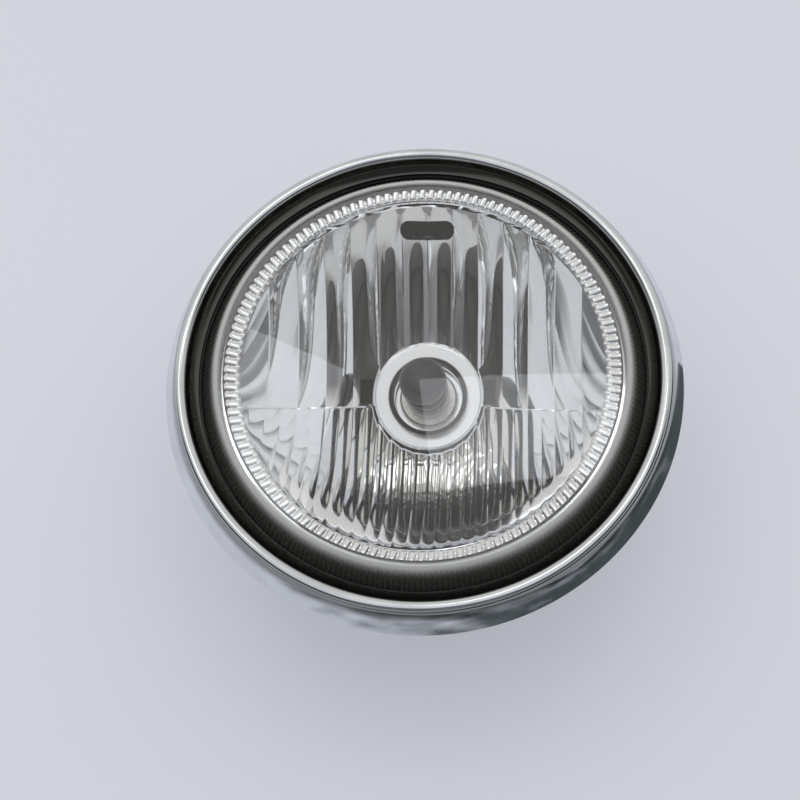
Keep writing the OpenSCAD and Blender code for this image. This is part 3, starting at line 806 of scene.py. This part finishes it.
def make_glass():
    def line(inset):
        radius = GLASS_R - inset
        tip = GLASS_REACH - inset
        points = [(0.0, GLASS_BACK + inset), (radius, GLASS_BACK + inset)]
        for i in range(25):
            a = math.radians(90 * i / 24)
            points.append((radius * max(math.cos(a), 0.0) ** 0.8, tip - radius * 0.75 * (1 - math.sin(a))))
        return points
    glass = turned("glass_outside", line(0), 96)
    join(glass, [turned("glass_inside", line(GLASS_WALL)[::-1], 96)])
    glass.name = "bulb_envelope"
    place(glass, beam_matrix())
    stand_in(glass, "bulb_glass", bulb_clear)


make_glass()


# Floor and backdrop

# Light that the floor adds, so that it stays pale under the dim walls
FLOOR_GLOW = 0.40


def make_floor():
    size = 3.0
    floor = add_mesh("floor", [(-size / MM, -size / MM, 0), (size / MM, -size / MM, 0),
                               (size / MM, size / MM, 0), (-size / MM, size / MM, 0)], [(0, 1, 2, 3)], smooth=False)
    material, nodes, links, shader = principled("floor")
    vector = object_coords(nodes, links, (1, 1, 1))
    patches = noise(nodes, links, vector, 1.5, 2)
    links.new(tint(nodes, links, spread(nodes, links, patches, 0, 1), (0.66, 0.67, 0.74), (0.70, 0.71, 0.78)),
              shader.inputs["Base Color"])
    shader.inputs["Roughness"].default_value = 0.7
    shader.inputs["Emission Color"].default_value = (0.66, 0.69, 0.77, 1)
    shader.inputs["Emission Strength"].default_value = FLOOR_GLOW
    dress(floor, material)


make_floor()


# Light: a dim room with a pale ceiling, a dark figure on the camera's side and window panels

# Ceiling and walls: (sine of the elevation, radiance)
WORLD_STOPS = [(0.0, 0.55), (0.22, 0.50), (0.27, 0.045), (0.56, 0.045), (0.66, 0.30), (0.78, 0.70), (1.0, 0.78)]
# The same for the wall that faces the camera
BACK_STOPS = [(0.0, 0.60), (0.30, 0.62), (0.60, 0.64), (0.80, 0.74), (1.0, 0.78)]
COOL = (0.97, 0.985, 1.0)
WARM = (1.0, 0.99, 0.94)
# Dark figure that leans over the lamp: direction, and cosines where its edge starts and ends
FIGURE_DIR = (0.05, -0.78, 0.62)
FIGURE_EDGE = (0.88, 0.93)
FIGURE_LIGHT = 0.16
# Corners of the panels that mirror in the lens, in metres
PANELS = {
    "window_left": [(-0.525, 0.697), (-0.265, 0.556), (-0.352, 0.144), (-0.577, 0.303)],
    "window_right": [(-0.082, 0.524), (0.391, 0.562), (0.420, 0.306), (-0.039, 0.235)],
}
PANEL_Z = 1.5
# Dark card on the table, in metres
CARD = [(-0.16, -0.16), (0.15, -0.15), (0.175, 0.06), (0.6, 0.16), (0.65, -0.75), (-0.35, -0.75)]
CARD_Z = 0.004
CARD_FALL = 1.1
PANEL_LIGHT = 2.2


def make_world():
    world = bpy.data.worlds.new("world")
    bpy.context.scene.world = world
    world.use_nodes = True
    nodes = world.node_tree.nodes
    links = world.node_tree.links
    background = next(n for n in nodes if n.type == "BACKGROUND")
    coords = nodes.new("ShaderNodeTexCoord")
    split = nodes.new("ShaderNodeSeparateXYZ")
    ramp = nodes.new("ShaderNodeValToRGB")
    links.new(coords.outputs["Generated"], split.inputs["Vector"])
    links.new(split.outputs["Z"], ramp.inputs["Fac"])
    back = nodes.new("ShaderNodeValToRGB")
    links.new(split.outputs["Z"], back.inputs["Fac"])
    for band, stops, tone in ((ramp, WORLD_STOPS, COOL), (back, BACK_STOPS, WARM)):
        while len(band.color_ramp.elements) < len(stops):
            band.color_ramp.elements.new(0.5)
        for element, (position, value) in zip(band.color_ramp.elements, stops):
            element.position = position
            element.color = (value * tone[0], value * tone[1], value * tone[2], 1)
    room = nodes.new("ShaderNodeMix")
    room.data_type = "RGBA"
    links.new(spread(nodes, links, split.outputs["Y"], 0, 1, 0.05, 0.35), room.inputs["Factor"])
    links.new(ramp.outputs["Color"], room.inputs["A"])
    links.new(back.outputs["Color"], room.inputs["B"])
    dot = nodes.new("ShaderNodeVectorMath")
    dot.operation = "DOT_PRODUCT"
    dot.inputs[1].default_value = Vector(FIGURE_DIR).normalized()
    links.new(coords.outputs["Generated"], dot.inputs[0])
    inside = spread(nodes, links, dot.outputs["Value"], 0, 1, *FIGURE_EDGE)
    figure = nodes.new("ShaderNodeMix")
    figure.data_type = "RGBA"
    figure.inputs["B"].default_value = (FIGURE_LIGHT * 0.95, FIGURE_LIGHT * 0.97, FIGURE_LIGHT * 1.06, 1)
    links.new(inside, figure.inputs["Factor"])
    links.new(room.outputs["Result"], figure.inputs["A"])
    links.new(figure.outputs["Result"], background.inputs["Color"])
    background.inputs["Strength"].default_value = 1.0


def make_panel(name, corners):
    """Emissive panel under the ceiling."""
    height = PANEL_Z / MM
    points = [(x / MM, y / MM, height) for x, y in corners]
    panel = add_mesh(name, points, [tuple(range(len(points)))], smooth=False)
    material = bpy.data.materials.new(name)
    material.use_nodes = True
    nodes = material.node_tree.nodes
    nodes.clear()
    light = nodes.new("ShaderNodeEmission")
    output = nodes.new("ShaderNodeOutputMaterial")
    light.inputs["Color"].default_value = (0.96, 0.98, 1.0, 1)
    light.inputs["Strength"].default_value = PANEL_LIGHT
    material.node_tree.links.new(light.outputs["Emission"], output.inputs["Surface"])
    dress(panel, material)


def card_material():
    material, nodes, links, shader = principled("dark_card")
    blotches = noise(nodes, links, object_coords(nodes, links, (1, 1, 1)), 14, 4, 0.6)
    coords = nodes.new("ShaderNodeTexCoord")
    split = nodes.new("ShaderNodeSeparateXYZ")
    links.new(coords.outputs["Object"], split.inputs["Vector"])
    fall = math_node(nodes, links, "MULTIPLY", split.outputs["X"], CARD_FALL)
    light = spread(nodes, links, math_node(nodes, links, "SUBTRACT", blotches, fall), 0, 1, 0.34, 0.68)
    links.new(tint(nodes, links, light, (0.09, 0.115, 0.12), (0.66, 0.67, 0.74)), shader.inputs["Base Color"])
    shader.inputs["Emission Color"].default_value = (0.66, 0.69, 0.77, 1)
    links.new(math_node(nodes, links, "MULTIPLY", light, FLOOR_GLOW), shader.inputs["Emission Strength"])
    shader.inputs["Roughness"].default_value = 0.7
    return material


def make_dark_card():
    """Dark thing on the table in front of the lamp, outside the picture, that the skirt mirrors."""
    card = add_mesh("dark_card", [(x / MM, y / MM, CARD_Z / MM) for x, y in CARD], [tuple(range(len(CARD)))], smooth=False)
    dress(card, card_material())


make_world()
make_dark_card()
for panel_name, panel_corners in PANELS.items():
    make_panel(panel_name, panel_corners)

bpy.context.scene.view_settings.view_transform = "Standard"
